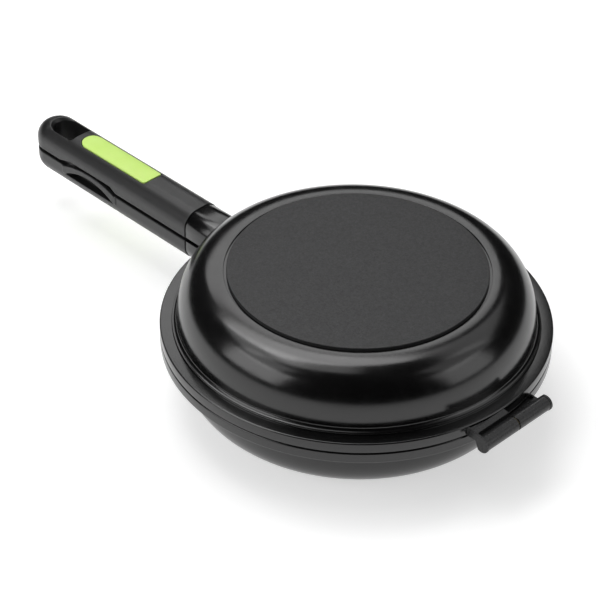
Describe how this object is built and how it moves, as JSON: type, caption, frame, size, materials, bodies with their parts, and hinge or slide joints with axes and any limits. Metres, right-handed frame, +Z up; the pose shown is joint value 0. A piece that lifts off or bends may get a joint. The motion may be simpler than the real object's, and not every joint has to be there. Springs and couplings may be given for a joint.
{
  "type": "double sided flip pan",
  "caption": "Double sided flip pan: two equal shallow coated pans joined mouth to mouth by a pin hinge, each with half of a long split handle.",
  "frame": {"origin": "centre of the lower base disc's underside, on the surface the pan stands on", "axes": "+Z up, the handle runs along -X, the hinge is at +X with its axis along Y in the seam between the two pans"},
  "size_m": [0.4713, 0.262, 0.097],
  "materials": {
    "cast_body": "glossy black enamel outside, dark non-stick coating inside",
    "base_disc": "matt dark grey coated with a fine grain",
    "gloss_ferrule": "glossy black",
    "grip_plastic": "soft matt black",
    "soft_inlay": "lime green silicone",
    "steel": "bright zinc plated",
    "magnet": "nickel plated",
    "hinge_metal": "satin dark grey coated",
    "washer_brass": "plain"
  },
  "bodies": {
    "lower": {"lower_pan": "cast_body", "lower_base_disc": "base_disc", "lower_ferrule": "gloss_ferrule", "lower_grip": "grip_plastic", "lower_inlay": "soft_inlay", "lower_tie_rod": "steel", "lower_rod_washer": "steel", "lower_magnet": "magnet", "lower_hinge_knuckle": "hinge_metal", "lower_hinge_screws": "steel", "hinge_pin": "steel", "hinge_washer": "washer_brass"},
    "upper": {"upper_pan": "cast_body", "upper_base_disc": "base_disc", "upper_ferrule": "gloss_ferrule", "upper_grip": "grip_plastic", "upper_inlay": "soft_inlay", "upper_tie_rod": "steel", "upper_rod_washer": "steel", "upper_magnet": "magnet", "upper_hinge_knuckle": "hinge_metal", "upper_hinge_screws": "steel"}
  },
  "joints": [
    {"name": "open", "type": "hinge", "parent": "lower", "child": "upper", "pos_m": [0.14025, 0, 0.0485], "axis": [0, 1, 0], "range_deg": [0, 180]}
  ]
}
